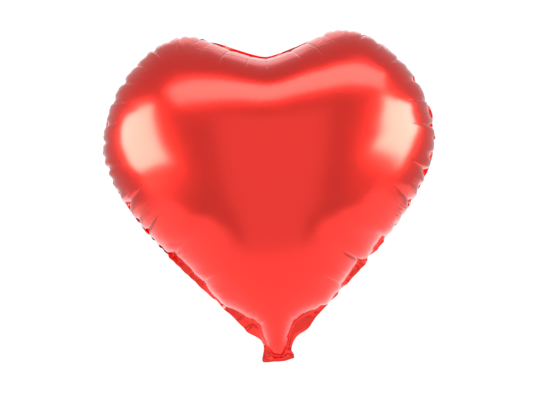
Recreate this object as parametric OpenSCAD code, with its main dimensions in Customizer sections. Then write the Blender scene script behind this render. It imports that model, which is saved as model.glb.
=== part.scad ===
// Heart-shaped foil balloon, inflated, with a self-closing film valve and a
// tail that folds at the neck.
// Millimetres. The origin is the middle of the neck's fold line, where a ribbon
// is tied. +Z points up through the heart, +X to its left lobe seen from behind,
// and the front faces -Y. The flat seam plane is y = 0.

/* [Heart] */
// Width of the inflated heart over its flange
heart_w = 360; // [300:5:440]
// Height of the lobes' tops above the fold line, over the flange
heart_h = 338; // [280:2:420]
// Depth of the inflated heart, front to back
heart_d = 195; // [100:5:220]
// Distance between the tops of the two lobes
lobe_spacing = 168; // [130:2:200]
// Depth of the notch below the tops of the lobes
notch_depth = 26; // [10:1:60]
// Height of the widest point above the fold line
widest_z = 221; // [170:1:240]
// Angle of the straight flank above the horizontal
flank_angle = 44; // [38:1:50]

/* [Seam] */
// Width of the flat heat-sealed flange outside the inflated part
flange_w = 5.5; // [3:0.5:10]
// Thickness of one foil film
film_t = 0.05; // [0.03:0.01:0.12]

/* [Neck and tail] */
// Width inside the inflated neck
neck_w = 24; // [18:1:32]
// Height above the fold line at which the neck starts to widen
neck_h = 18; // [14:1:24]
// Half-width of the heart where the flank runs into the neck
shoulder_x = 46; // [38:1:56]
// Height above the fold line at which the flank runs into the neck
shoulder_z = 39; // [34:1:50]
// Width of the flat tail
tail_w = 35; // [26:1:50]
// Length of the flat tail below the fold line
tail_l = 20; // [16:1:45]
// Radius of the tail's lower corners
tail_corner_r = 2.5; // [1:0.5:4]
// Width of the weld across the tail's lower edge
tail_weld_w = 4; // [3:0.5:6]

/* [Valve] */
// Width of the two valve films
valve_w = 18; // [14:1:24]
// Length of the two valve films above the fold line
valve_l = 95; // [60:5:140]
// Thickness of one valve film
valve_t = 0.04; // [0.02:0.01:0.06]
// Thickness of the release print and of the valve's edge welds
print_t = 0.02; // [0.01:0.01:0.04]
// Height of the release print above the fold line
print_l = 30; // [20:1:45]
// Width of each of the valve's edge welds
valve_weld_w = 2; // [1:0.5:3]
// Radius of the inflation port in the back of the tail
port_r = 3; // [2:0.5:4.5]
// Drop of the port's centre below the fold line
port_drop = 5.5; // [5.5:0.5:12]

/* [Hidden] */

// Gap on each side of the fold line, so that the tail turns freely
fold_gap = 0.4;
// Height of the inflated part's lowest point above the fold line
foot_z = 3.5;
// Half-width of the flange at the fold line, a little wider than the tail
fold_x = tail_w / 2 + 3;
// Clearance between a valve film's edge and the seam weld beside it
valve_clear = 0.5;
// The seam's inner layer is as thick as what passes through it at the neck
weld_t = 2 * valve_t + print_t;

// Smoothness: steps along each stretch of the outline, and rings to the middle
notch_steps = 6;
lobe_steps = 8;
side_steps = 9;
flare_steps = 4;
foot_steps = 4;
rings = 9;
$fn = 48;

// ---- The heart's outline ----

function bezier(a, b, c, d, s) =
    pow(1 - s, 3) * a + 3 * s * pow(1 - s, 2) * b + 3 * s * s * (1 - s) * c + pow(s, 3) * d;

// Points from a up to, but not including, d
function stretch(a, b, c, d, steps) =
    [for (k = [0 : steps - 1]) bezier(a, b, c, d, k / steps)];

// Right half of a heart from the notch down to the foot. It lies "out" outside
// the weld line, flares from the neck at "flare_angle", and ends in the neck's
// own corner and foot.
function half_heart(out, neck, flare_angle, corner, foot, foot_round) =
    let (
        along = [cos(flank_angle), sin(flank_angle)],
        crest = [lobe_spacing / 2, heart_h - flange_w + out],
        notch = [0, crest.y - notch_depth],
        side = [heart_w / 2 - flange_w + out, widest_z],
        shoulder = [shoulder_x, shoulder_z] + out * [along.y, -along.x],
        notch_run = crest.x - notch.x,
        flank_run = norm(side - shoulder),
        flare_run = norm(shoulder - neck)
    )
    concat(
        stretch(notch, notch + notch_run * [0.33, 0.065], crest - notch_run * [0.26, 0],
                crest, notch_steps),
        stretch(crest, crest + [0.46 * (side.x - crest.x), 0],
                side + [0, 0.47 * (crest.y - side.y)], side, lobe_steps),
        stretch(side, side - [0, 0.23 * flank_run], shoulder + 0.44 * flank_run * along,
                shoulder, side_steps),
        stretch(shoulder, shoulder - 0.4 * flare_run * along,
                neck + 0.35 * flare_run * [cos(flare_angle), sin(flare_angle)], neck, flare_steps),
        [neck],
        stretch(corner, corner - [0, foot_round * (corner.y - foot.y)],
                foot + [foot_round * corner.x, 0], foot, foot_steps),
        [foot]
    );

// Left half added to a right half, without doubling the notch and the foot
function both_halves(right) =
    concat(right, [for (k = [len(right) - 2 : -1 : 1]) [-right[k].x, right[k].y]]);

// The neck is inflated and round-ended inside the weld line, and the flange's
// edge runs straight from the tail up to the flank
round_share = 0.55;
weld_half = half_heart(0, [neck_w / 2, neck_h], 90, [neck_w / 2, foot_z + neck_w / 2],
                       [0, foot_z], round_share);
edge_half = half_heart(flange_w, [fold_x, fold_gap + 0.5], flank_angle,
                       [fold_x, fold_gap], [0, fold_gap], 0);
weld_line = both_halves(weld_half);
edge_line = both_halves(edge_half);
columns = len(weld_line);

// ---- The inflated shape ----

middle = [0, (heart_h + foot_z) / 2 + 24];
widest = heart_w / 2 - flange_w;

// Half-width of the heart at a height, up to its widest point
side_first = notch_steps + lobe_steps;
width_table = [for (k = [len(weld_half) - 1 : -1 : side_first]) [weld_half[k].y, weld_half[k].x]];
function local_width(z) = z > widest_z ? widest : lookup(z, width_table);

// How much one straight piece of the weld line, from a to b, closes in on p:
// the integral of 1 / distance^2 along it
function closeness(p, a, b) =
    let (u = a - p, v = b - p, area = abs(u.x * v.y - u.y * v.x), length = norm(b - a))
    area < 0.001
        ? length / (norm(u) * norm(v))
        : length * atan2(area, u * v) * PI / 180 / area;

function closeness_all(p, k = 0, total = 0) =
    k == columns ? total
    : closeness_all(p, k + 1, total + closeness(p, weld_line[k], weld_line[(k + 1) % columns]));

// Rise of the film before it is scaled to the heart's depth. It is a circle's
// arc across any even channel, and a ball's cap over any round outline.
function raw_rise(p) = sqrt(2 * PI * local_width(p.y) / closeness_all(p));

// Grid of the panel: rings from the middle out to the weld line, closer
// together near it where the film is steep
function grid_point(j, i) = middle + sin(90 * j / rings) * (weld_line[i] - middle);

raw = [for (j = [1 : rings - 1]) [for (i = [0 : columns - 1]) raw_rise(grid_point(j, i))]];
raw_middle = raw_rise(middle);
rise_scale = (heart_d / 2 - weld_t / 2 - film_t) / max(raw_middle, max([for (r = raw) max(r)]));

function lift(p, rise) = [p.x, -weld_t / 2 - rise, p.y];

// Inner face of the front panel: rings of points, the last two on the weld line
// and on the flange's edge
inner = concat(
    [for (j = [1 : rings - 1]) [for (i = [0 : columns - 1])
        lift(grid_point(j, i), rise_scale * raw[j - 1][i])]],
    [[for (p = weld_line) lift(p, 0)], [for (p = edge_line) lift(p, 0)]]
);
inner_middle = lift(middle, rise_scale * raw_middle);

// Outward direction of the film at ring j, column i
function film_normal(j, i) =
    j == rings ? [0, -1, 0]
    : let (
        inward = j == 0 ? inner_middle : inner[j - 1][i],
        down = inner[j + 1][i] - inward,
        round = inner[j][(i + 1) % columns] - inner[j][(i + columns - 1) % columns],
        n = cross(round, down)
    )
    n / norm(n) * (n.y > 0 ? -1 : 1);

outer = [for (j = [0 : rings]) [for (i = [0 : columns - 1])
    inner[j][i] + film_t * film_normal(j, i)]];

// One skin's triangles: a fan at the middle and a strip between each two rings.
// Its points are the middle, then the rings, counted from "first".
function skin_faces(first) =
    let (at = function(j, i) first + 1 + j * columns + i % columns)
    concat(
        [for (i = [0 : columns - 1]) [first, at(0, i), at(0, i + 1)]],
        [for (j = [0 : rings - 1], i = [0 : columns - 1], half = [0, 1])
            half == 0 ? [at(j, i), at(j + 1, i), at(j + 1, i + 1)]
                      : [at(j, i), at(j + 1, i + 1), at(j, i + 1)]]
    );

function turned(faces) = [for (f = faces) [f[2], f[1], f[0]]];
function flat_list(lists) = [for (l = lists, item = l) item];

module panel() {
    skin_count = 1 + (rings + 1) * columns;
    edge = skin_count - columns;
    rim = [for (i = [0 : columns - 1], half = [0, 1])
        let (a = edge + i, b = edge + (i + 1) % columns)
        half == 0 ? [a, a + skin_count, b + skin_count] : [a, b + skin_count, b]];
    polyhedron(
        points = concat([inner_middle], flat_list(inner),
                        [inner_middle + [0, -film_t, 0]], flat_list(outer)),
        faces = concat(turned(skin_faces(0)), skin_faces(skin_count), turned(rim))
    );
}

// ---- Flat pieces: drawn in X and Z, with a thickness in Y ----

// A sheet that fills y from "low" to "low + t"
module sheet(low, t) {
    translate([0, low + t, 0])
        rotate([90, 0, 0])
            linear_extrude(t)
                children();
}

module strip(x0, x1, z0, z1) {
    translate([x0, z0])
        square([x1 - x0, z1 - z0]);
}

module tail_shape() {
    inner_x = tail_w / 2 - tail_corner_r;
    strip(-tail_w / 2, tail_w / 2, tail_corner_r - tail_l, -fold_gap);
    strip(-inner_x, inner_x, -tail_l, -fold_gap);
    for (side = [-1, 1])
        translate([side * inner_x, tail_corner_r - tail_l])
            circle(tail_corner_r);
}

module valve_shape() {
    strip(-valve_w / 2, valve_w / 2, fold_gap, valve_l);
}

// ---- Envelope ----

module front_panel() {
    color("crimson")
        panel();
}

module back_panel() {
    color("firebrick")
        mirror([0, 1, 0])
            panel();
}

// The sealing layers of both panels, fused together in the flange. It is open
// at the neck, where the valve passes.
module seam_weld() {
    channel = valve_w / 2 + valve_clear;
    color("lightpink")
        sheet(-weld_t / 2, weld_t)
            difference() {
                polygon(edge_line);
                polygon(weld_line);
                strip(-channel, channel, 0, foot_z + neck_w / 2);
            }
}

module valve_front_film() {
    color("lightcyan")
        sheet(-weld_t / 2, valve_t)
            valve_shape();
}

module valve_back_film() {
    color("lightblue")
        sheet(print_t / 2, valve_t)
            valve_shape();
}

module valve_edge_welds() {
    inside = valve_w / 2 - valve_weld_w;
    color("deepskyblue")
        sheet(-print_t / 2, print_t)
            for (side = [0, 1])
                mirror([side, 0])
                    strip(inside, valve_w / 2, fold_gap, valve_l);
}

// Coating that keeps the valve's mouth open when the neck is sealed across it
module valve_release_print() {
    inside = valve_w / 2 - valve_weld_w;
    color("gold")
        sheet(-print_t / 2, print_t)
            strip(-inside, inside, fold_gap, print_l);
}

// ---- Tail ----

module tail_front_film() {
    color("crimson")
        sheet(-weld_t / 2 - film_t, film_t)
            tail_shape();
}

module tail_back_film() {
    color("firebrick")
        difference() {
            sheet(weld_t / 2, film_t)
                tail_shape();
            translate([0, 0, -port_drop])
                rotate([-90, 0, 0])
                    cylinder(r = port_r, h = 1);
        }
}

// Welds down both sides of the tail, beside the filling channel
module tail_side_welds() {
    color("lightpink")
        sheet(-weld_t / 2, weld_t)
            difference() {
                tail_shape();
                strip(-valve_w / 2, valve_w / 2, -tail_l, 0);
            }
}

// Weld across the foot of the filling channel
module tail_foot_weld() {
    color("lightpink")
        sheet(-weld_t / 2, weld_t)
            strip(-valve_w / 2, valve_w / 2, -tail_l, tail_weld_w - tail_l);
}

front_panel();
back_panel();
seam_weld();
valve_front_film();
valve_back_film();
valve_edge_welds();
valve_release_print();
tail_front_film();
tail_back_film();
tail_side_welds();
tail_foot_weld();
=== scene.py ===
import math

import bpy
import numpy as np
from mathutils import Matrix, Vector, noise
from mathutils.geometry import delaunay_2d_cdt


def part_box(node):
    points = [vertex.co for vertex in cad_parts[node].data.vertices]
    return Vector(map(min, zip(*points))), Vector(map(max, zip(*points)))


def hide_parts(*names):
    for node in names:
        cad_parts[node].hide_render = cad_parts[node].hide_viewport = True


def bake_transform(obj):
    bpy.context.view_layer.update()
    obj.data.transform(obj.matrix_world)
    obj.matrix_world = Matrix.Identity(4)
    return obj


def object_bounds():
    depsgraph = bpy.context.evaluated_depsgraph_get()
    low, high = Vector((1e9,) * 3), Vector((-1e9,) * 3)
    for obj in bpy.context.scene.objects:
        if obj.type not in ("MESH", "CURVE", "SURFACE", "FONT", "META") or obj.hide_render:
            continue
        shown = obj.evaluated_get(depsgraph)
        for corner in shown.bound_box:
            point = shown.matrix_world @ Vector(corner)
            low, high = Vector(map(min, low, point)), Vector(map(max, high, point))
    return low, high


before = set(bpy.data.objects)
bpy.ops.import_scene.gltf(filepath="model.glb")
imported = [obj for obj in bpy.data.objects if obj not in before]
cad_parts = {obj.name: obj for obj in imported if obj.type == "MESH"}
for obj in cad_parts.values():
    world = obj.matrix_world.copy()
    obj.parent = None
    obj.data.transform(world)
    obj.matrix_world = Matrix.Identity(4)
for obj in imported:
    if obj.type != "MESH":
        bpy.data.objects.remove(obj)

# Heart-shaped foil balloon: two flat films, cut larger than the heart they make,
# welded round their edge and blown up by a cloth simulation, so that the rim
# gathers into puffs and pleats by itself. The blown film is then fitted to the
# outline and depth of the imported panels.
# Film work is in millimetres, in the frame's own axes. Objects are in metres.

CAD_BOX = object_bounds()
MM = 0.001
SEED = 5

# ---- The flat pattern, in millimetres from the fold line ----

FLANK_ANGLE = math.radians(43.5)    # of the straight flank above the horizontal
CREST = np.array([98.0, 413.0])     # top of a lobe
NOTCH_DROP = 7.0                    # of the cut edge in the notch below its lobes' tops
SIDE = np.array([214.5, 263.0])     # widest point
SHOULDER = np.array([64.0, 44.0])   # where the flank runs into the neck
FLANGE = 4.2                        # width of the flat flange
NOTCH_FLANGE = 9.0                  # and in the notch, where it shows
NECK_FLANGE = 5.5                   # and beside the neck
NECK_HALF = 19.0                    # half-width inside the neck
NECK_TOP = 8.0                      # where the neck starts to widen
NECK_POINT = -16.5                  # end of the neck's wedge, inside the tail
FOLD_HALF = 20.5                    # half-width of the flange at the fold line
TAIL_HALF = 17.5
TAIL_SHOULDER = -5.0                # where the flange has narrowed to the tail
TAIL_END = -20.0
PORT = np.array([0.0, -5.5])        # centre of the inflation port
PORT_R = 3.0
PORT_STEP = 18                      # degrees between the points of its rim

# Handles of the outline's curves, as shares of the curve's width, height or length
NOTCH_PULL = 0.5
CREST_PULL_IN = 0.3
CREST_PULL_OUT = 0.5
SIDE_PULL_UP = 0.52
SIDE_PULL_DOWN = 0.36
SHOULDER_PULL_UP = 0.46
SHOULDER_PULL_DOWN = 0.4
NECK_PULL = 0.35
WEDGE_PULLS = ([0.75 * NECK_HALF, 0], [0.55 * NECK_HALF, -8])    # these two in millimetres

CURVE_STEPS = 40
LONG_CURVE_STEPS = 60
WEDGE_STEPS = 16

# Spacing of the film's points: fine at the rim, where it gathers
RIM_SPACING, RIM_REACH = ((3.7, 52.0))
MID_SPACING, MID_REACH = ((6.0, 76.0))
MIDDLE_SPACING = 9.0
LATTICE_HALF = 260                  # the lattice covers the whole pattern
LATTICE_HEIGHT = 460
JITTER = 0.06                       # share of the spacing
WELD_CLEAR = 0.6                    # least gap to the weld, as a share of the rim's spacing
PORT_CLEAR = 0.5                    # and to the port's rim
FLANGE_CLEAR = 0.55                 # and from the flange's points to both its edges
SAME_POINT = 1e-6                   # points closer than this would be merged

# ---- The simulation ----

SIM_FRAMES = 30
PRESSURE = 120.0
STIFFNESS = 7.5                     # per millimetre of spacing
SIM_SCALE = 0.01                    # simulation units per millimetre
START_SLOPE = 0.25                  # of the film at the weld before the gas comes in
START_LIFT = 30                     # and the most that it lifts
HELD_STRIP = 5                      # height of the tail's end that is held still

# ---- Fitting the blown film to the frame ----

CENTRE_RISE = 30                    # of the reach's centre above the middle of the panel
REACH_STEP = 1.0                    # degrees
REACH_WINDOW = 5                    # steps in a running average
NECK_SPREAD = math.radians(6)       # the neck and tail, seen from that centre
NECK_FADE = math.radians(8)
FLANK_LOW, FLANK_HIGH, FLANK_STEP = 4.0, 130.0, 2.0
FLANK_WINDOW = 7                    # steps in a running average
FLANK_FADE_IN = 14                  # height over which the flanks' own fit comes in
FLANK_FADE_OUT = 40                 # and goes out again
FLANK_FADE_END = 120                # height at which it has gone

# ---- Pinches and handling ----

HEART_MIDDLE = np.array([0, 190.0])
VALLEY_REACH = 12       # a valley is judged against the rim this far off on either side
PINCH_APART = 30.0      # least run of rim between two pinches
PINCH_LOWEST = 60.0     # the straight flanks beside the neck have none
PINCH_DEPTH = 2.0
PINCH_HALF = 2.1        # half-width of a pinch's groove
PINCH_LENGTH = 50.0
PINCH_START = 3         # run from the weld over which a groove deepens
NOTCH_RUN = 60.0        # the notch's share of the rim, each way, where pinches are longer and closer
NOTCH_CLOSER = 0.55     # share of the usual run between them
NOTCH_LONGER = 0.5      # share of the usual length that is added
NOTCH_SHALLOWER = 0.35  # share of the usual depth that is taken off
WELD_CREASE = 0.9       # of the subdivision, where 1 is quite sharp
TAIL_BEND = 1.6         # how far the tail waves to the front and back
TAIL_WAVE = (11, 16)    # breadth and height of its broad waves
TAIL_CREASE = (5, 7)    # and of its fine creases
FOOT_WAVE = 6           # breadth of the waves along its foot
FOOT_DRAWN_UP = 1.4     # how far handling has drawn the foot up
FOOT_RISE = 1.2         # height of the foot's waves
FOOT_SLANT = 12         # run of the foot in which it climbs a millimetre
LOOSE_TOP = -2          # the tail is bent below here
LOOSE_FADE = 10         # run over which the bending comes in
MIDDLE_BAND = 9         # about the half-width of the band where the nearest rim changes sides
MIDDLE_TOP = 120        # and its upper end
HAIR = 0.15             # between a film and the sealing layer behind it
CHANNEL_HALF = 9.0      # of the filling channel through the tail


def bezier(a, b, c, d, steps=CURVE_STEPS):
    """Points of a cubic curve from a up to, but not including, d."""
    a, b, c, d = (np.asarray(p, float) for p in (a, b, c, d))
    s = (np.arange(steps) / steps)[:, None]
    return (1 - s)**3 * a + 3 * s * (1 - s)**2 * b + 3 * s * s * (1 - s) * c + s**3 * d


def heart_side(out, notch_out, neck_out):
    """Right half of the heart from the notch down to the shoulder, so far outside the weld."""
    along = np.array([math.cos(FLANK_ANGLE), math.sin(FLANK_ANGLE)])
    crest = CREST + [0, out]
    notch = np.array([0, CREST[1] + FLANGE - NOTCH_DROP - NOTCH_FLANGE + notch_out])
    side = SIDE + [out, 0]
    shoulder = SHOULDER + neck_out * np.array([along[1], -along[0]])
    flank = np.linalg.norm(side - shoulder)
    points = [
        bezier(notch, notch + [NOTCH_PULL * crest[0], 0], crest - [CREST_PULL_IN * crest[0], 0], crest),
        bezier(crest, crest + [CREST_PULL_OUT * (side[0] - crest[0]), 0],
               side + [0, SIDE_PULL_UP * (crest[1] - side[1])], side, LONG_CURVE_STEPS),
        bezier(side, side - [0, SIDE_PULL_DOWN * flank],
               shoulder + SHOULDER_PULL_UP * flank * along, shoulder, LONG_CURVE_STEPS),
    ]
    return points, shoulder, along


def weld_half():
    """Right half of the weld line, from the notch to the end of the neck's wedge."""
    points, shoulder, along = heart_side(0, 0, 0)
    neck = np.array([NECK_HALF, NECK_TOP])
    run = np.linalg.norm(shoulder - neck)
    points += [
        bezier(shoulder, shoulder - SHOULDER_PULL_DOWN * run * along, neck + [0, NECK_PULL * run], neck),
        bezier(neck, *WEDGE_PULLS, [0, NECK_POINT], WEDGE_STEPS),
        np.array([[0, NECK_POINT]]),
    ]
    return np.concatenate(points)


def edge_half():
    """Right half of the film's cut edge, from the notch to the middle of the tail's foot."""
    points, shoulder, along = heart_side(FLANGE, NOTCH_FLANGE, NECK_FLANGE)
    fold = np.array([FOLD_HALF, 0])
    run = np.linalg.norm(shoulder - fold)
    tail = [[FOLD_HALF, 0], [TAIL_HALF, TAIL_SHOULDER], [TAIL_HALF, TAIL_END], [0, TAIL_END]]
    points += [
        bezier(shoulder, shoulder - SHOULDER_PULL_DOWN * run * along, fold + NECK_PULL * run * along, fold),
        np.array(tail, float),
    ]
    return np.concatenate(points)


def spaced(line, spacing):
    """The same line with evenly spaced points, its ends kept."""
    along = np.r_[0, np.cumsum(np.linalg.norm(np.diff(line, axis=0), axis=1))]
    at = np.linspace(0, along[-1], max(3, round(along[-1] / spacing) + 1))
    return np.c_[np.interp(at, along, line[:, 0]), np.interp(at, along, line[:, 1])]


def both_sides(half):
    """A closed outline from its right half."""
    return np.concatenate([half, half[1:-1][::-1] * [-1, 1]])


def inside(points, outline):
    """Which points lie inside a closed outline."""
    x, y = points[:, 0], points[:, 1]
    not_zero = 1e-30    # nothing crosses a level edge, so it only has to divide safely
    odd = np.zeros(len(points), bool)
    for a, b in zip(outline, np.roll(outline, -1, 0)):
        crosses = (a[1] > y) != (b[1] > y)
        odd ^= crosses & (x < (b[0] - a[0]) * (y - a[1]) / (b[1] - a[1] + not_zero) + a[0])
    return odd


def from_outline(points, outline):
    """Distance of each point to a closed outline, and how far along it the nearest place is."""
    best = np.full(len(points), np.inf)
    where = np.zeros(len(points))
    start = 0.0
    for a, b in zip(outline, np.roll(outline, -1, 0)):
        ab = b - a
        length = np.linalg.norm(ab)
        t = np.clip((points - a) @ ab / length**2, 0, 1)
        gap = np.linalg.norm(points - a - t[:, None] * ab, axis=1)
        nearer = gap < best
        best[nearer] = gap[nearer]
        where[nearer] = start + t[nearer] * length
        start += length
    return best, where


def lattice(spacing, rng):
    """Triangular lattice over the whole pattern, with a little irregularity."""
    row = spacing * math.sqrt(3) / 2
    columns = np.arange(-LATTICE_HALF, LATTICE_HALF, spacing)
    points = [np.c_[columns + spacing / 2 * (r % 2), np.full(len(columns), TAIL_END + r * row)]
              for r in range(int(LATTICE_HEIGHT / row))]
    points = np.concatenate(points)
    return points + rng.normal(0, JITTER * spacing, points.shape)


def ring(first, count):
    """Lines that join a run of points into a ring."""
    return [(first + i, first + (i + 1) % count) for i in range(count)]


class Film:
    """The flat pattern as triangles: the dome, which fills with gas, and the welded rest."""

    def __init__(self):
        rng = np.random.default_rng(SEED)
        self.weld = both_sides(spaced(weld_half(), RIM_SPACING))
        self.edge = both_sides(spaced(edge_half(), RIM_SPACING))
        self.n_weld = len(self.weld)
        turn = np.radians(np.arange(0, 360, PORT_STEP))
        port = PORT + PORT_R * np.c_[np.cos(turn), np.sin(turn)]
        filled = np.concatenate([port, *self.filled_points(rng)])
        points = np.concatenate([self.weld, self.edge, filled, self.flange_points(rng)])

        n_edge = len(self.edge)
        first = self.n_weld + n_edge
        lines = ring(0, self.n_weld) + ring(self.n_weld, n_edge) + ring(first, len(port))
        made = delaunay_2d_cdt([Vector(p) for p in points], lines, [], 0, SAME_POINT)
        self.flat = np.array([tuple(p) for p in made[0]])
        if len(self.flat) != len(points):
            raise ValueError("the flat pattern's lines cross")
        triangles = self.turned_one_way(np.array([tuple(f) for f in made[2]]))
        middle = self.flat[triangles].mean(1)
        in_weld = inside(middle, self.weld)
        self.dome = triangles[in_weld]
        self.rest = triangles[inside(middle, self.edge) & ~in_weld]
        self.front = np.concatenate([self.dome, self.rest])
        self.free = np.zeros(len(points), bool)
        self.free[first:first + len(filled)] = True
        # the back film's own points come after the front's
        self.back = np.arange(len(points))
        self.back[self.free] = len(points) + np.arange(self.free.sum())
        self.all_flat = np.concatenate([self.flat, self.flat[self.free]])

    def filled_points(self, rng):
        """Points inside the weld, in three zones from the rim inwards."""
        zones = (
            (RIM_SPACING, WELD_CLEAR * RIM_SPACING, RIM_REACH),
            (MID_SPACING, RIM_REACH, MID_REACH),
            (MIDDLE_SPACING, MID_REACH, np.inf),
        )
        found = []
        for spacing, near, far in zones:
            points = lattice(spacing, rng)
            points = points[inside(points, self.weld)]
            gap = from_outline(points, self.weld)[0]
            from_port = np.abs(np.linalg.norm(points - PORT, axis=1) - PORT_R)
            found.append(points[(gap > near) & (gap <= far) & (from_port > PORT_CLEAR * RIM_SPACING)])
        return found

    def flange_points(self, rng):
        """Points between the weld and the cut edge."""
        points = lattice(RIM_SPACING, rng)
        points = points[inside(points, self.edge) & ~inside(points, self.weld)]
        clear = FLANGE_CLEAR * RIM_SPACING
        off_weld = from_outline(points, self.weld)[0] > clear
        return points[off_weld & (from_outline(points, self.edge)[0] > clear)]

    def twice_area(self, triangles):
        """Twice each triangle's area, negative where it turns the other way."""
        a, b, c = (self.flat[triangles[:, k]] for k in range(3))
        return (b[:, 0] - a[:, 0]) * (c[:, 1] - a[:, 1]) - (b[:, 1] - a[:, 1]) * (c[:, 0] - a[:, 0])

    def turned_one_way(self, triangles):
        reverse = self.twice_area(triangles) < 0
        triangles[reverse] = triangles[reverse][:, ::-1]
        return triangles

    def in_port(self, triangles):
        """Which triangles lie inside the port's rim."""
        within = 0.97   # of its radius, as the rim's points are joined by straight lines
        return np.linalg.norm(self.flat[triangles].mean(1) - PORT, axis=1) < PORT_R * within


# ---- Meshes ----

def new_mesh(name, points, faces):
    mesh = bpy.data.meshes.new(name)
    mesh.from_pydata(points.tolist(), [], faces.tolist())
    mesh.update()
    return mesh


def new_object(name, data):
    obj = bpy.data.objects.new(name, data)
    bpy.context.scene.collection.objects.link(obj)
    return obj


def evaluated(obj):
    return obj.evaluated_get(bpy.context.evaluated_depsgraph_get())


def read_vectors(data, key):
    """Rows of three from a mesh's vertices or from one of its vector attributes."""
    values = np.empty(len(data) * 3)
    data.foreach_get(key, values)
    return values.reshape(-1, 3)


def set_attribute(mesh, name, values):
    where = mesh.attributes.new(name, "FLOAT", "POINT")
    where.data.foreach_set("value", np.ascontiguousarray(values, np.float32))


def mesh_edges(triangles):
    pairs = np.concatenate([triangles[:, [0, 1]], triangles[:, [1, 2]], triangles[:, [2, 0]]])
    return np.unique(np.sort(pairs, axis=1), axis=0)


# ---- Blowing the film up ----

def inflate(film):
    """Blow the flat film up with Blender's cloth. Returns its points in millimetres."""
    gap = from_outline(film.flat, film.weld)[0]
    lift = np.where(film.free, np.minimum(START_SLOPE * gap, START_LIFT), 0)
    x, z = film.flat.T
    front = np.c_[x, -lift, z]
    points = np.concatenate([front, (front * [1, -1, 1])[film.free]])
    triangles = np.concatenate([film.dome, film.back[film.dome][:, ::-1], film.rest])
    obj = new_object("film", new_mesh("film", points * SIM_SCALE, triangles))
    pressed = np.flatnonzero(np.r_[film.free, np.ones(film.free.sum(), bool)])
    obj.vertex_groups.new(name="pressed").add(pressed.tolist(), 1.0, "REPLACE")
    held = np.flatnonzero(z < TAIL_END + HELD_STRIP)
    obj.vertex_groups.new(name="held").add(held.tolist(), 1.0, "REPLACE")

    cloth = obj.modifiers.new("cloth", "CLOTH")
    settings = cloth.settings
    settings.quality = 8
    settings.mass = 0.02
    settings.air_damping = 3
    # stiffness goes with the mean spacing, so that a finer film pulls about as hard as a coarse one
    pairs = mesh_edges(triangles)
    spacing = np.linalg.norm(points[pairs[:, 0]] - points[pairs[:, 1]], axis=1).mean()
    for pull in ("tension", "compression", "shear"):
        setattr(settings, pull + "_stiffness", STIFFNESS * spacing)
        setattr(settings, pull + "_damping", 20)
    settings.bending_stiffness = 0.05
    settings.bending_damping = 0.5
    settings.use_pressure = True
    settings.uniform_pressure_force = PRESSURE
    settings.vertex_group_pressure = "pressed"
    settings.vertex_group_mass = "held"
    settings.effector_weights.gravity = 0
    cloth.collision_settings.use_collision = False
    cloth.point_cache.frame_end = SIM_FRAMES
    for step in range(1, SIM_FRAMES + 1):
        bpy.context.scene.frame_set(step)
    blown = read_vectors(evaluated(obj).data.vertices, "co") / SIM_SCALE
    bpy.data.objects.remove(obj)
    bpy.context.scene.frame_set(1)
    return blown


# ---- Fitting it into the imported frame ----

def outline_reach(points, edges, centre, angles):
    """How far a shape reaches from a centre in the X-Z plane, at each angle."""
    a = points[edges[:, 0]][:, [0, 2]] - centre
    b = points[edges[:, 1]][:, [0, 2]] - centre
    reach = np.zeros(len(angles))
    for k, angle in enumerate(angles):
        ray = np.array([math.sin(angle), math.cos(angle)])
        side_a = a[:, 0] * ray[1] - a[:, 1] * ray[0]
        side_b = b[:, 0] * ray[1] - b[:, 1] * ray[0]
        cut = (side_a > 0) != (side_b > 0)
        t = side_a[cut] / (side_a[cut] - side_b[cut])
        reach[k] = ((a[cut] + t[:, None] * (b[cut] - a[cut])) @ ray).max()
    return reach


def half_widths(points, edges, heights):
    """Half-width of a shape in the X-Z plane at each height."""
    a, b = points[edges[:, 0]][:, [0, 2]], points[edges[:, 1]][:, [0, 2]]
    widths = np.zeros(len(heights))
    for k, height in enumerate(heights):
        cut = (a[:, 1] > height) != (b[:, 1] > height)
        t = (height - a[cut, 1]) / (b[cut, 1] - a[cut, 1])
        widths[k] = np.ptp(a[cut, 0] + t * (b[cut, 0] - a[cut, 0])) / 2
    return widths


def smoothed(values, window):
    """Running average of a list with two ends."""
    padded = np.pad(values, window, "edge")
    return np.convolve(padded, np.ones(window) / window, "same")[window:-window]


def smoothed_round(values, window):
    """Running average round a closed list, twice, so that its ends join."""
    kernel = np.ones(window) / window
    for _ in range(2):
        padded = np.r_[values[-window:], values, values[:window]]
        values = np.convolve(padded, kernel, "same")[window:-window]
    return values


def fit_flanks(points, edges, cad, cad_edges):
    """Bring the flanks' lower ends to the panel's width at each height."""
    heights = np.arange(FLANK_LOW, FLANK_HIGH, FLANK_STEP)
    share = half_widths(cad, cad_edges, heights) / half_widths(points, edges, heights)
    share = smoothed(share, FLANK_WINDOW)
    fade_out = np.clip((FLANK_FADE_END - heights) / FLANK_FADE_OUT, 0, 1)
    fade_in = np.clip((heights - FLANK_LOW) / FLANK_FADE_IN, 0, 1)
    fitted = points.copy()
    fitted[:, 0] *= np.interp(points[:, 2], heights, 1 + (share - 1) * (fade_out * fade_in), 1, 1)
    return fitted


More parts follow.
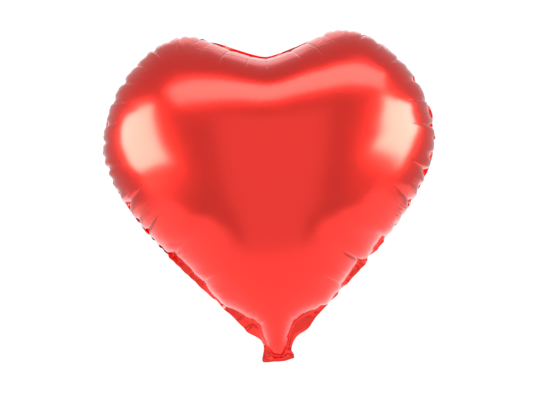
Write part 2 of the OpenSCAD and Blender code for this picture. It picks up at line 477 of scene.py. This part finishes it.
def fit_reach(points, edges, cad, cad_edges, centre):
    """Bring the outline to the panel's, by its reach from a centre at each angle."""
    angles = np.radians(np.arange(0, 360, REACH_STEP))
    wanted = outline_reach(cad, cad_edges, centre, angles)
    got = outline_reach(points, edges, centre, angles)
    share = smoothed_round(wanted / got, REACH_WINDOW)
    # the neck and the tail are already at their real size
    down = np.abs(angles - math.pi)
    share = 1 + (share - 1) * np.clip((down - NECK_SPREAD) / NECK_FADE, 0, 1)

    away = points[:, [0, 2]] - centre
    angle = np.arctan2(away[:, 0], away[:, 1]) % (2 * math.pi)
    turn = np.r_[angles, 2 * math.pi]
    reach = np.interp(angle, turn, np.r_[got, got[0]])
    scale = np.interp(angle, turn, np.r_[share, share[0]])
    near_rim = np.clip(np.linalg.norm(away, axis=1) / reach, 0, 1)**2
    fitted = points.copy()
    fitted[:, [0, 2]] = centre + away * (1 + (scale - 1) * near_rim)[:, None]
    return fitted


def fit_to_frame(points, film):
    """Bring the blown heart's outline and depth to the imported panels', and leave its pleats."""
    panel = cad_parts["front_panel"].data
    cad = read_vectors(panel.vertices, "co") / MM
    cad_faces = [tuple(p.vertices) for p in panel.polygons]
    cad_edges = np.array([(f[k], f[k - 1]) for f in cad_faces for k in range(len(f))])
    edges = mesh_edges(film.front)
    low, high = (np.array(v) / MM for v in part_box("front_panel"))
    centre = np.array([0, (low[2] + high[2]) / 2 + CENTRE_RISE])
    fitted = fit_flanks(points, edges, cad, cad_edges)
    fitted = fit_reach(fitted, edges, cad, cad_edges, centre)
    both_panels = 2 * (high[1] - low[1])
    fitted[:, 1] *= both_panels / np.ptp(fitted[:, 1])
    return fitted


# ---- Pinches and handling ----

def rim_place(flat, film):
    """Distance of flat points from the weld line, and the signed way along it from the notch."""
    gap, where = from_outline(flat, film.weld)
    length = np.linalg.norm(film.weld - np.roll(film.weld, -1, 0), axis=1).sum()
    return gap, np.where(where > length / 2, where - length, where)


def find_pinches(points, film):
    """Where the blown rim is pinched in between two puffs, as ways along the weld line."""
    place = rim_place(film.weld, film)[1]
    order = np.argsort(place)
    place, rim = place[order], points[:film.n_weld][order][:, [0, 2]]
    # a valley lies on the heart's side of the straight line between its neighbours
    reach = max(2, round(VALLEY_REACH / RIM_SPACING))
    dent = np.zeros(len(rim))
    for k in range(reach, len(rim) - reach):
        chord = (rim[k - reach] + rim[k + reach]) / 2
        out = chord - HEART_MIDDLE
        dent[k] = (chord - rim[k]) @ out / np.linalg.norm(out)
    found = []
    for k in np.argsort(-dent):
        apart = PINCH_APART * (NOTCH_CLOSER if abs(place[k]) < NOTCH_RUN else 1)
        above_neck = rim[k][1] > PINCH_LOWEST
        if above_neck and all(abs(place[k] - f) > apart for f in found):
            found.append(place[k])
    return np.sort(found)


def groove_depth(gap, place, pinches):
    """Depth of the pinches' grooves, which run in from the weld and are longer in the notch."""
    nearest = pinches[np.argmin(np.abs(place[:, None] - pinches[None]), axis=1)]
    in_notch = np.exp(-(nearest / NOTCH_RUN)**4)
    # sines of the place give each pinch a length and a depth of its own
    length = PINCH_LENGTH * (0.8 + 0.5 * np.sin(nearest * 1.7)**2 + NOTCH_LONGER * in_notch)
    uneven = 0.35 + 0.65 * np.sin(nearest * 0.9)**2
    across = np.exp(-((place - nearest) / PINCH_HALF)**2)
    along = np.sqrt(np.clip(1 - gap / length, 0, 1)) * np.clip(gap / PINCH_START, 0, 1)
    return PINCH_DEPTH * uneven * across * along * (1 - NOTCH_SHALLOWER * in_notch)


def crumple(points, film):
    """The flat tail, bent and creased by handling."""
    flat = film.all_flat
    loose = np.clip((LOOSE_TOP - flat[:, 1]) / LOOSE_FADE, 0, 1)
    bent = points.copy()
    for k in np.flatnonzero(loose > 0):
        x, z = flat[k]
        # the last coordinate of each picks an unlike slice of the noise
        broad = noise.noise((x / TAIL_WAVE[0], z / TAIL_WAVE[1], 3.1))
        crease = noise.noise((x / TAIL_CREASE[0], z / TAIL_CREASE[1], 8.2))
        foot = noise.noise((x / FOOT_WAVE, 0.5, 5.7))
        bent[k, 1] += TAIL_BEND * loose[k] * (broad + 0.5 * abs(crease))
        bent[k, 2] += loose[k]**2 * (FOOT_DRAWN_UP + FOOT_RISE * foot + x / FOOT_SLANT)
    return bent


# ---- Pieces ----

def subdivided(name, points, faces, flat, on_weld):
    """One subdivision of the simulated triangles, kept sharp along the weld."""
    mesh = new_mesh(name, points * MM, faces)
    where = mesh.attributes.new("flat", "FLOAT_VECTOR", "POINT")
    where.data.foreach_set("vector", np.c_[flat, np.zeros(len(flat))].ravel())
    pairs = np.empty(len(mesh.edges) * 2, np.int32)
    mesh.edges.foreach_get("vertices", pairs)
    crease = mesh.attributes.new("crease_edge", "FLOAT", "EDGE")
    sharp = on_weld[pairs.reshape(-1, 2)].all(1)
    crease.data.foreach_set("value", np.where(sharp, WELD_CREASE, 0.0))
    obj = new_object(name, mesh)
    smooth = obj.modifiers.new("smooth", "SUBSURF")
    smooth.levels = smooth.render_levels = 1
    smooth.boundary_smooth = "PRESERVE_CORNERS"
    done = bpy.data.meshes.new_from_object(evaluated(obj))
    done.name = name
    obj.modifiers.clear()
    obj.data = done
    return obj


def film_piece(name, points, triangles, film, pinches):
    """One film with its grooves, and what its material needs to know of the rim."""
    used, local = np.unique(triangles, return_inverse=True)
    obj = subdivided(name, points[used], local.reshape(triangles.shape), film.all_flat[used],
                     used < film.n_weld)
    mesh = obj.data
    mesh.polygons.foreach_set("use_smooth", np.ones(len(mesh.polygons), bool))
    flat = read_vectors(mesh.attributes["flat"].data, "vector")[:, :2]
    gap, place = rim_place(flat, film)
    filled = inside(flat, film.weld)
    set_attribute(mesh, "rim_gap", np.where(filled, gap, -gap))
    set_attribute(mesh, "rim_place", place)
    set_attribute(mesh, "pinch_phase", np.interp(place, pinches, np.arange(len(pinches))))
    # near the middle line, low down, the nearest rim jumps from one flank to the other
    low_middle = np.clip(1.3 - np.abs(flat[:, 0]) / MIDDLE_BAND, 0, 1) * (flat[:, 1] < MIDDLE_TOP)
    set_attribute(mesh, "rim_clear", 1 - low_middle)

    depth = groove_depth(gap, place, pinches) * filled
    normal = read_vectors(mesh.vertices, "normal")
    grooved = read_vectors(mesh.vertices, "co") - normal * depth[:, None] * MM
    mesh.vertices.foreach_set("co", grooved.ravel())
    mesh.update()
    return obj


def sealing_piece(name, front, film):
    """The layer between the films, over the flange and the tail but for the filling channel."""
    mesh = front.data
    flat = read_vectors(mesh.attributes["flat"].data, "vector")[:, :2]
    points = read_vectors(mesh.vertices, "co") / MM - HAIR * read_vectors(mesh.vertices, "normal")
    faces = np.array([tuple(p.vertices) for p in mesh.polygons])
    at = flat[faces].mean(1)
    channel = (np.abs(at[:, 0]) < CHANNEL_HALF) & (at[:, 1] < NECK_TOP) & (at[:, 1] > NECK_POINT)
    used, local = np.unique(faces[~inside(at, film.weld) & ~channel], return_inverse=True)
    layer = new_mesh(name, points[used] * MM, local.reshape(-1, 4))
    layer.polygons.foreach_set("use_smooth", np.ones(len(layer.polygons), bool))
    return new_object(name, layer)


def point_normals(points, triangles):
    """Unit normals of the points that the triangles use. The others get zero."""
    a, b, c = (points[triangles[:, k]] for k in range(3))
    cross = np.cross(b - a, c - a)
    normal = np.zeros_like(points)
    for k in range(3):
        np.add.at(normal, triangles[:, k], cross)
    length = np.linalg.norm(normal, axis=1, keepdims=True)
    return normal / np.where(length > 0, length, 1)


def make_balloon(film):
    points = crumple(fit_to_frame(inflate(film), film), film)
    pinches = find_pinches(points, film)
    # the two films part by a hair in the flange, with the sealing layer between them
    parted = HAIR * point_normals(points, film.rest)
    back_dome = film.back[film.dome[~film.in_port(film.dome)]]
    back = np.concatenate([back_dome, film.rest])[:, ::-1]
    foil_front = film_piece("foil_front", points + parted, film.front, film, pinches)
    foil_back = film_piece("foil_back", points - parted, back, film, pinches)
    sealing_layer = sealing_piece("sealing_layer", foil_front, film)
    return {"foil_front": foil_front, "foil_back": foil_back, "sealing_layer": sealing_layer}


film = Film()
pieces = make_balloon(film)

# ---- Materials ----

FOIL_RED = (0.88, 0.015, 0.005, 1)
FOIL_ROUGHNESS = (0.22, 0.24)
PRINT_OCHRE = (0.72, 0.42, 0.09, 1)
PRINT_ROUGHNESS = (0.55, 0.9)   # in a dot and between dots

# The foil's relief. Reaches and sizes are in millimetres of flat film.
RIM_START = (-0.5, 1.5)         # relief comes in across the weld
GATHER_SIZE = (2.6, 22)         # of a fine gather, along the rim and away from it
GATHER_FADE = (26, 50)          # gap to the weld over which the gathers go out
GATHER_HEIGHT = 1.6
PATCH_SIZE = (38, 60)           # of the patches that have more and fewer gathers
LINE_HALF = 0.045               # of a pinch's line, as a share of the way to the next pinch
LINE_FADE = (42, 66)
LINE_LONGER = 20                # in the notch
NOTCH_FADE = (50, 80)           # way along the rim over which the notch ends
CREASE_GAP = 53                 # of the crease across the notch to the weld
CREASE_HALF = 1.3
CREASE_DEPTH = 0.4
RELIEF_STEP = 0.0006            # metres for a relief of one


def set_inputs(node, values):
    for name, value in values.items():
        node.inputs[name].default_value = value


class Shading:
    """A new material, and short ways to add nodes to it."""

    def __init__(self, name):
        self.material = bpy.data.materials.new(name)
        self.material.use_nodes = True
        self.nodes = self.material.node_tree.nodes
        self.links = self.material.node_tree.links
        self.shader = self.nodes["Principled BSDF"]

    def attribute(self, name):
        node = self.nodes.new("ShaderNodeAttribute")
        node.attribute_name = name
        return node.outputs["Fac"]

    def maths(self, operation, first, second=None):
        """A maths node, of which each term is a number or a socket."""
        node = self.nodes.new("ShaderNodeMath")
        node.operation = operation
        for socket, value in zip(node.inputs, (first, second)):
            if isinstance(value, (int, float)):
                socket.default_value = value
            elif value is not None:
                self.links.new(value, socket)
        return node.outputs[0]

    def mapped(self, value, low, high, start=0.0, end=1.0):
        """From start to end, smoothly, while the value goes from low to high."""
        node = self.nodes.new("ShaderNodeMapRange")
        node.interpolation_type = "SMOOTHSTEP"
        set_inputs(node, {"From Min": low, "From Max": high, "To Min": start, "To Max": end})
        self.links.new(value, node.inputs["Value"])
        return node.outputs["Result"]

    def noise(self, x, y, size, detail=2.0):
        at = self.nodes.new("ShaderNodeCombineXYZ")
        self.links.new(self.maths("DIVIDE", x, size[0]), at.inputs["X"])
        self.links.new(self.maths("DIVIDE", y, size[1]), at.inputs["Y"])
        node = self.nodes.new("ShaderNodeTexNoise")
        set_inputs(node, {"Scale": 1, "Detail": detail})
        self.links.new(at.outputs[0], node.inputs["Vector"])
        return node.outputs["Fac"]


def gathers(s, gap, place):
    """Fine gathers in patches along the rim."""
    fine = s.noise(place, gap, GATHER_SIZE)
    patch = s.noise(place, gap, PATCH_SIZE, 0)
    near = s.maths("MULTIPLY", s.mapped(gap, *GATHER_FADE, 1, 0), s.mapped(gap, *RIM_START))
    return s.maths("MULTIPLY", s.maths("MULTIPLY", fine, near), s.mapped(patch, 0.42, 0.62, 0.15, 1))


def pinch_lines(s, gap, phase, notch):
    """The sharp line down each pinch, longer in the notch and of uneven strength."""
    off_line = s.maths("ABSOLUTE", s.maths("SUBTRACT", s.maths("FRACT", s.maths("ADD", phase, 0.5)), 0.5))
    longer = s.maths("SUBTRACT", gap, s.maths("MULTIPLY", notch, LINE_LONGER))
    line = s.maths("MULTIPLY", s.mapped(off_line, 0.0, LINE_HALF, 1, 0), s.mapped(longer, *LINE_FADE, 1, 0))
    line = s.maths("MULTIPLY", line, s.mapped(gap, *RIM_START))
    strength = s.nodes.new("ShaderNodeTexWhiteNoise")
    strength.noise_dimensions = "1D"
    s.links.new(s.maths("ROUND", phase), strength.inputs["W"])
    return s.maths("MULTIPLY", line, s.mapped(strength.outputs["Value"], 0, 0.8, 0.25, 1))


def rim_relief(s):
    """Gathers, pinch lines and the faint crease that runs across the notch."""
    gap, place, phase = (s.attribute(name) for name in ("rim_gap", "rim_place", "pinch_phase"))
    notch = s.mapped(s.maths("ABSOLUTE", place), *NOTCH_FADE, 1, 0)
    off_crease = s.maths("ABSOLUTE", s.maths("SUBTRACT", gap, CREASE_GAP))
    crease = s.maths("MULTIPLY", s.mapped(off_crease, 0, CREASE_HALF, CREASE_DEPTH, 0), notch)
    relief = s.maths("MULTIPLY", gathers(s, gap, place), GATHER_HEIGHT)
    relief = s.maths("SUBTRACT", relief, pinch_lines(s, gap, phase, notch))
    return s.maths("MULTIPLY", s.maths("SUBTRACT", relief, crease), s.attribute("rim_clear"))


def foil_material(name):
    """Red metallised film under a clear coat, with the relief of the gathered rim."""
    s = Shading(name)
    set_inputs(s.shader, {"Base Color": FOIL_RED, "Metallic": 1, "Coat Weight": 0.85, "Coat Roughness": 0.19})
    cloudy = s.nodes.new("ShaderNodeTexNoise")
    set_inputs(cloudy, {"Scale": 9})
    s.links.new(s.mapped(cloudy.outputs["Fac"], 0.3, 0.7, *FOIL_ROUGHNESS), s.shader.inputs["Roughness"])
    bump = s.nodes.new("ShaderNodeBump")
    set_inputs(bump, {"Strength": 1, "Distance": RELIEF_STEP})
    s.links.new(rim_relief(s), bump.inputs["Height"])
    for socket in ("Normal", "Coat Normal"):
        s.links.new(bump.outputs["Normal"], s.shader.inputs[socket])
    return s.material


def plain_material(name, colour, roughness, extra=None):
    s = Shading(name)
    set_inputs(s.shader, {"Base Color": (*colour, 1), "Roughness": roughness, **(extra or {})})
    return s.material


def print_material(name):
    """A matt coating, laid down in fine dots."""
    s = Shading(name)
    set_inputs(s.shader, {"Base Color": PRINT_OCHRE})
    dots = s.nodes.new("ShaderNodeTexVoronoi")
    set_inputs(dots, {"Scale": 1500})
    rough = s.mapped(dots.outputs["Distance"], 0.1, 0.6, *PRINT_ROUGHNESS)
    s.links.new(rough, s.shader.inputs["Roughness"])
    return s.material


def dress(obj, material):
    obj.data.materials.clear()
    obj.data.materials.append(material)


foil = foil_material("red foil")
for name in ("foil_front", "foil_back"):
    dress(pieces[name], foil)
dress(pieces["sealing_layer"], plain_material("clear film", (0.85, 0.87, 0.9), 0.25))
valve_film = plain_material("valve film", (0.88, 0.9, 0.92), 0.2, {"Transmission Weight": 0.7})
for name in ("valve_front_film", "valve_back_film", "valve_edge_welds"):
    dress(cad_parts[name], valve_film)
dress(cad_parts["valve_release_print"], print_material("release print"))

# ---- The new pieces stand in for these imported parts, which are hidden ----

for name, nodes in (("foil_front", ("front_panel", "tail_front_film")),
                    ("foil_back", ("back_panel", "tail_back_film")),
                    ("sealing_layer", ("seam_weld", "tail_side_welds", "tail_foot_weld"))):
    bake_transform(pieces[name])
    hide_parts(*nodes)

# ---- Studio, in metres ----

FLOOR_DROP = 0.45           # of the floor below the balloon
BACKDROP_HALF = 1.3
BACKDROP_FRONT = -0.6       # the floor's near edge
BACKDROP_BACK = 2.2         # where the floor turns up into the wall
BACKDROP_BEND = 1.2         # radius of that turn
BACKDROP_TOP = 6.0          # of the wall above the floor
BEND_STEP = 6               # degrees
WARM = (1, 0.93, 0.86)
WHITE = (1, 1, 1)
PAPER_GLOW = 0.92
WORLD_GLOW = 0.58

scene = bpy.context.scene
low, high = (np.array(v) for v in CAD_BOX)
middle = Vector((low + high) / 2)


def backdrop_profile(floor_z):
    """Floor, a quarter round and a wall, as points in the Y-Z plane."""
    bend = [(BACKDROP_BACK + BACKDROP_BEND * math.sin(a), floor_z + BACKDROP_BEND * (1 - math.cos(a)))
            for a in np.radians(np.arange(0, 91, BEND_STEP))]
    wall_top = (BACKDROP_BACK + BACKDROP_BEND, floor_z + BACKDROP_TOP)
    return [(BACKDROP_FRONT, floor_z), *bend, wall_top]


def studio():
    """White paper that glows, so that the surroundings come out white."""
    profile = backdrop_profile(low[2] - FLOOR_DROP)
    points = np.array([(x, y, z) for y, z in profile for x in (-BACKDROP_HALF, BACKDROP_HALF)])
    faces = np.array([(2 * k, 2 * k + 1, 2 * k + 3, 2 * k + 2) for k in range(len(profile) - 1)])
    mesh = new_mesh("backdrop", points, faces)
    mesh.polygons.foreach_set("use_smooth", np.ones(len(mesh.polygons), bool))
    backdrop = new_object("backdrop", mesh)
    glow = {"Emission Color": (*WHITE, 1), "Emission Strength": PAPER_GLOW}
    dress(backdrop, plain_material("white paper", (0.1, 0.1, 0.1), 0.9, glow))


def softbox(name, place, width, height, power, colour=WHITE, tilt=0):
    """A rectangular lamp that faces the middle of the balloon, tilted by some degrees."""
    light = bpy.data.lights.new(name, "AREA")
    light.shape = "RECTANGLE"
    light.size, light.size_y = width, height
    light.energy = power
    light.color = colour
    obj = new_object(name, light)
    obj.location = place
    obj.rotation_euler = (middle - Vector(place)).to_track_quat("-Z", "Y").to_euler()
    obj.rotation_euler.rotate_axis("Z", math.radians(tilt))


studio()
softbox("softbox_left", (-1.84, -0.68, 0.32), width=1.18, height=1.4, power=66, colour=WARM, tilt=20)
softbox("softbox_right", (1.9, -0.65, 0.32), width=1.15, height=1.3, power=66, colour=WARM, tilt=-20)
softbox("softbox_top", (0.25, -1.05, 1.65), width=3.6, height=0.72, power=33)
softbox("front_fill", (0.1, -2.6, -0.35), width=2.4, height=4.1, power=10.2)

scene.world = bpy.data.worlds.new("studio")
scene.world.use_nodes = True
set_inputs(scene.world.node_tree.nodes["Background"], {"Color": (*WHITE, 1), "Strength": WORLD_GLOW})
scene.view_settings.view_transform = "Standard"

# ---- Camera ----

LENS = 85
DISTANCE = 1.40
SIDEWAYS = 0.001
HEIGHT = 0.157
ROLL = math.radians(-2.4)

camera = new_object("camera", bpy.data.cameras.new("camera"))
camera.data.lens = LENS
camera.location = (SIDEWAYS, -DISTANCE, HEIGHT)
camera.rotation_euler = (math.radians(90), 0, 0)
camera.rotation_euler.rotate_axis("Z", ROLL)
scene.camera = camera
